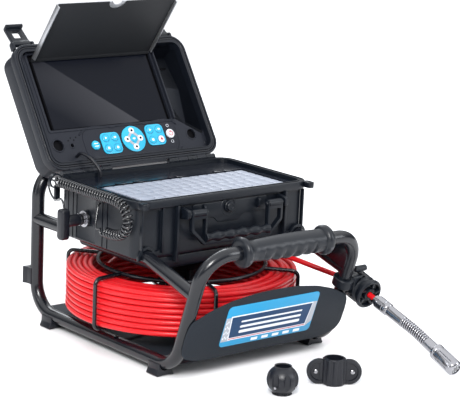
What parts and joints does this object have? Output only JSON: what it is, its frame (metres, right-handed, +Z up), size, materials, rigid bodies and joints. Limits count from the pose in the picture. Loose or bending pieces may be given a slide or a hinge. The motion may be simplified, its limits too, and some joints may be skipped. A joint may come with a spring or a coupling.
{
  "type": "pipe inspection camera",
  "caption": "Pipe inspection camera: push-rod reel in a tube carrier under a control case with a tilting monitor lid, and a sprung camera head.",
  "frame": {"origin": "bottom centre of the bounding box without the plug cord, on the floor under the feet", "axes": "+Z up, +X to the right and -Y to the front, towards the handle bar and camera head"},
  "size_m": [0.4045, 0.685, 0.4901],
  "materials": {
    "frame_paint": "satin black powder coat",
    "case_plastic": "fine-textured moulded polypropylene",
    "panel_plastic": "fine matte ABS",
    "black_rubber": "matte rubber",
    "tray_sheet": "textured black powder coat",
    "rod_red": "glossy jacket over a glass-fibre core",
    "key_white": "silicone keys, cool white",
    "key_blue": "printed overlay, sky blue and white",
    "label_print": "laminated plain striped label",
    "screen_glass": "glossy black LCD panel",
    "lens_glass": "dark sapphire window",
    "steel": "turned stainless steel",
    "visor_metal": "silver folded sheet with a black inner face",
    "circuit_board": "green solder mask"
  },
  "bodies": {
    "carrier": {"left_side_rail": "frame_paint", "right_side_rail": "frame_paint", "left_mid_rail": "frame_paint", "right_mid_rail": "frame_paint", "rear_top_bar": "frame_paint", "handle_bar": "frame_paint", "handle_grip": "black_rubber", "front_left_foot": "black_rubber", "front_right_foot": "black_rubber", "rear_left_foot": "black_rubber", "rear_right_foot": "black_rubber", "left_rear_bumper": "black_rubber", "right_rear_bumper": "black_rubber", "floor_tray": "tray_sheet", "front_lip": "tray_sheet", "label_plate": "label_print", "reel_spindle": "steel", "reel_top_bearing": "case_plastic", "guide_clamp": "case_plastic", "guide_body": "case_plastic", "push_rod_lead": "rod_red", "rod_coupling": "steel", "spring_rear": "steel", "case_base": "case_plastic", "keyboard_tray": "panel_plastic", "keyboard": "key_white", "battery_pack": "black_rubber", "recorder_board": "circuit_board", "left_hinge_pin": "steel", "right_hinge_pin": "steel", "side_socket": "steel", "side_plug": "black_rubber", "plug_lead": "black_rubber", "curly_cord": "black_rubber", "cord_tail": "black_rubber", "lid_lead": "black_rubber"},
    "reel": {"reel_hub": "case_plastic", "reel_basket": "frame_paint", "rod_coil": "rod_red"},
    "lid": {"lid_shell": "case_plastic", "lid_seal": "black_rubber", "monitor_fascia": "panel_plastic", "lcd_screen": "screen_glass", "keypad_panel": "panel_plastic"},
    "visor": {"visor": "visor_metal"},
    "left_latch": {"left_latch": "case_plastic"},
    "right_latch": {"right_latch": "case_plastic"},
    "carry_handle": {"carry_handle": "case_plastic"},
    "pressure_valve": {"pressure_valve": "case_plastic"},
    "guide_knob": {"guide_knob": "case_plastic"},
    "camera_head": {"spring_front": "steel", "camera_head": "steel", "camera_lens": "lens_glass"},
    "ball_skid": {"ball_skid": "black_rubber"},
    "wing_skid": {"wing_skid": "black_rubber"},
    "menu_key": {"menu_key": "key_blue"},
    "left_keys": {"left_keys": "key_blue"},
    "centre_keys": {"centre_keys": "key_blue"},
    "right_keys": {"right_keys": "key_blue"},
    "power_key": {"power_key": "key_white"}
  },
  "joints": [
    {"name": "reel_spin", "type": "hinge", "parent": "carrier", "child": "reel", "pos_m": [-0.01088, 0.06728, 0.08], "axis": [0, 0, 1], "continuous": true},
    {"name": "lid_hinge", "type": "hinge", "parent": "carrier", "child": "lid", "pos_m": [-0.01088, 0.17878, 0.2413], "axis": [1, 0, 0], "range_deg": [0, 123.65], "deforming": ["lid_lead"]},
    {"name": "visor_fold", "type": "hinge", "parent": "lid", "child": "visor", "pos_m": [-0.03088, 0.28781, 0.39517], "axis": [1, 0, 0], "range_deg": [0, 110.5]},
    {"name": "left_latch_swing", "type": "hinge", "parent": "lid", "child": "left_latch", "pos_m": [-0.14288, 0.31206, 0.41626], "axis": [1, 0, 0], "range_deg": [0, 110]},
    {"name": "right_latch_swing", "type": "hinge", "parent": "lid", "child": "right_latch", "pos_m": [0.12112, 0.31206, 0.41626], "axis": [1, 0, 0], "range_deg": [0, 110]},
    {"name": "carry_handle_swing", "type": "hinge", "parent": "carrier", "child": "carry_handle", "pos_m": [-0.00188, -0.04572, 0.218], "axis": [1, 0, 0], "range_deg": [-100, 0]},
    {"name": "pressure_valve_turn", "type": "hinge", "parent": "carrier", "child": "pressure_valve", "pos_m": [-0.00588, -0.03272, 0.2185], "axis": [0, -1, 0], "range_deg": [0, 270]},
    {"name": "guide_knob_turn", "type": "hinge", "parent": "carrier", "child": "guide_knob", "pos_m": [0.16112, -0.13972, 0.123], "axis": [0, 0, 1], "range_deg": [-90, 90]},
    {"name": "spring_bend", "type": "hinge", "parent": "carrier", "child": "camera_head", "pos_m": [0.16712, -0.25344, 0.05921], "axis": [1, 0, 0], "range_deg": [-30, 5], "stiffness_Nm_per_rad": 8},
    {"name": "menu_key_press", "type": "slide", "parent": "lid", "child": "menu_key", "axis": [0, 0.8324, -0.5541], "range_m": [0, 0.0006], "stiffness_N_per_m": 600},
    {"name": "left_keys_press", "type": "slide", "parent": "lid", "child": "left_keys", "axis": [0, 0.8324, -0.5541], "range_m": [0, 0.0006], "stiffness_N_per_m": 600},
    {"name": "centre_keys_press", "type": "slide", "parent": "lid", "child": "centre_keys", "axis": [0, 0.8324, -0.5541], "range_m": [0, 0.0006], "stiffness_N_per_m": 600},
    {"name": "right_keys_press", "type": "slide", "parent": "lid", "child": "right_keys", "axis": [0, 0.8324, -0.5541], "range_m": [0, 0.0006], "stiffness_N_per_m": 600},
    {"name": "power_key_press", "type": "slide", "parent": "lid", "child": "power_key", "axis": [0, 0.8324, -0.5541], "range_m": [0, 0.0006], "stiffness_N_per_m": 600},
    {"name": "ball_skid_lift", "type": "slide", "parent": "carrier", "child": "ball_skid", "axis": [0, 0, 1], "range_m": [0, 0.06]},
    {"name": "wing_skid_lift", "type": "slide", "parent": "carrier", "child": "wing_skid", "axis": [0, 0, 1], "range_m": [0, 0.06]}
  ],
  "couplings": [
    {"joint": "visor_fold", "follows": "lid_hinge", "ratio": 0.8936}
  ]
}
